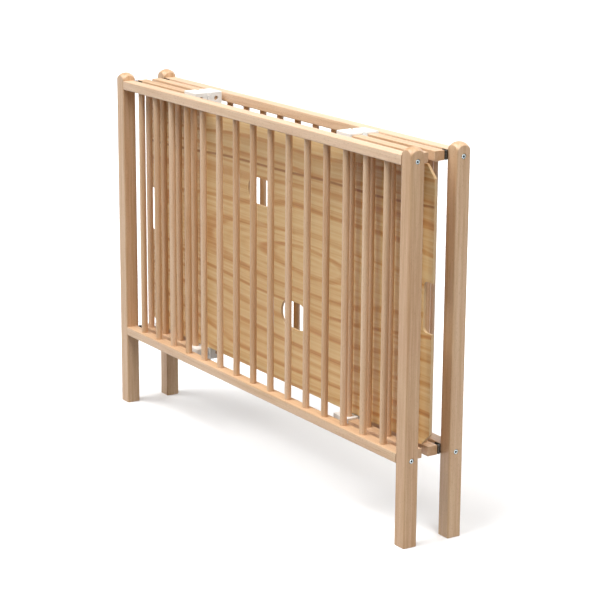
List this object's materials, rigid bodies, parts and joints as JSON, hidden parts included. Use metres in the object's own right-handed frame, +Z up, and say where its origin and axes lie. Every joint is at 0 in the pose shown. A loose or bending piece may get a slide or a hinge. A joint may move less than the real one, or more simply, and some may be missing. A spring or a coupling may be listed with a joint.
{
  "type": "folding crib",
  "caption": "Folding wooden crib, stored flat: barred long sides with domed posts, hinged end panels folded in half between them, and a base board held on edge.",
  "frame": {"origin": "on the floor, below the middle of the folded crib", "axes": "+X along the long sides to the right, +Y from the front side to the rear side, +Z up"},
  "size_m": [1.275, 0.154, 0.876],
  "materials": {
    "beech": "clear satin varnish",
    "board_veneer": "satin wood-grain veneer",
    "white_plastic": "fine matt moulding",
    "zinc_steel": "zinc-plated"
  },
  "bodies": {
    "front_side": {"front_left_post": "beech", "front_right_post": "beech", "front_top_rail": "beech", "front_bottom_rail": "beech", "front_bars": "beech", "front_rail_bolts": "zinc_steel", "front_barrel_nuts": "zinc_steel", "front_rail_dowels": "beech", "front_post_hinge_leaves": "zinc_steel", "front_post_hinge_pins": "zinc_steel", "front_post_hinge_screws": "zinc_steel"},
    "rear_side": {"rear_left_post": "beech", "rear_right_post": "beech", "rear_top_rail": "beech", "rear_bottom_rail": "beech", "rear_bars": "beech", "rear_rail_bolts": "zinc_steel", "rear_barrel_nuts": "zinc_steel", "rear_rail_dowels": "beech", "rear_post_hinge_leaves": "zinc_steel", "rear_post_hinge_pins": "zinc_steel", "rear_post_hinge_screws": "zinc_steel"},
    "left_end_front_half": {"left_end_front_top_rail": "beech", "left_end_front_bottom_rail": "beech", "left_end_front_bars": "beech", "left_end_front_top_cap": "white_plastic", "left_end_front_bottom_cap": "white_plastic", "left_end_front_hinge_leaves": "zinc_steel", "left_end_front_hinge_screws": "zinc_steel"},
    "left_end_rear_half": {"left_end_rear_top_rail": "beech", "left_end_rear_bottom_rail": "beech", "left_end_rear_bars": "beech", "left_end_rear_top_cap": "white_plastic", "left_end_rear_bottom_cap": "white_plastic", "left_end_rear_hinge_leaves": "zinc_steel", "left_end_rear_hinge_screws": "zinc_steel"},
    "right_end_front_half": {"right_end_front_top_rail": "beech", "right_end_front_bottom_rail": "beech", "right_end_front_bars": "beech", "right_end_front_top_cap": "white_plastic", "right_end_front_bottom_cap": "white_plastic", "right_end_front_hinge_leaves": "zinc_steel", "right_end_front_hinge_screws": "zinc_steel", "right_end_middle_pins": "zinc_steel"},
    "right_end_rear_half": {"right_end_rear_top_rail": "beech", "right_end_rear_bottom_rail": "beech", "right_end_rear_bars": "beech", "right_end_rear_top_cap": "white_plastic", "right_end_rear_bottom_cap": "white_plastic", "right_end_rear_hinge_leaves": "zinc_steel", "right_end_rear_hinge_screws": "zinc_steel"},
    "left_middle_hinge_pins": {"left_end_middle_pins": "zinc_steel"},
    "base_board": {"base_board": "board_veneer"}
  },
  "joints": [
    {"name": "left_front_fold", "type": "hinge", "parent": "front_side", "child": "left_end_front_half", "pos_m": [-0.603, -0.038, 0.5215], "axis": [0, 0, 1], "range_deg": [0, 90]},
    {"name": "left_middle_fold", "type": "hinge", "parent": "left_end_front_half", "child": "left_end_rear_half", "pos_m": [-0.305, 0, 0.5215], "axis": [0, 0, 1], "range_deg": [-180, 0]},
    {"name": "left_rear_fold", "type": "hinge", "parent": "left_end_rear_half", "child": "rear_side", "pos_m": [-0.603, 0.038, 0.5215], "axis": [0, 0, 1], "range_deg": [0, 90]},
    {"name": "right_front_fold", "type": "hinge", "parent": "front_side", "child": "right_end_front_half", "pos_m": [0.603, -0.038, 0.5215], "axis": [0, 0, 1], "range_deg": [-90, 0]},
    {"name": "right_middle_fold", "type": "hinge", "parent": "right_end_front_half", "child": "right_end_rear_half", "pos_m": [0.305, 0, 0.5215], "axis": [0, 0, 1], "range_deg": [0, 180]},
    {"name": "left_pins_turn", "type": "hinge", "parent": "left_end_front_half", "child": "left_middle_hinge_pins", "pos_m": [-0.305, 0, 0.5215], "axis": [0, 0, 1], "range_deg": [-90, 0]},
    {"name": "board_slide", "type": "slide", "parent": "left_middle_hinge_pins", "child": "base_board", "axis": [1, 0, 0], "range_m": [0, 0.324]}
  ],
  "couplings": [
    {"joint": "left_middle_fold", "follows": "left_front_fold", "ratio": -2},
    {"joint": "left_rear_fold", "follows": "left_front_fold", "ratio": 1},
    {"joint": "right_front_fold", "follows": "left_front_fold", "ratio": -1},
    {"joint": "right_middle_fold", "follows": "left_front_fold", "ratio": 2},
    {"joint": "left_pins_turn", "follows": "left_front_fold", "ratio": -1},
    {"joint": "board_slide", "follows": "left_front_fold", "m_per_rad": 0.2062}
  ]
}
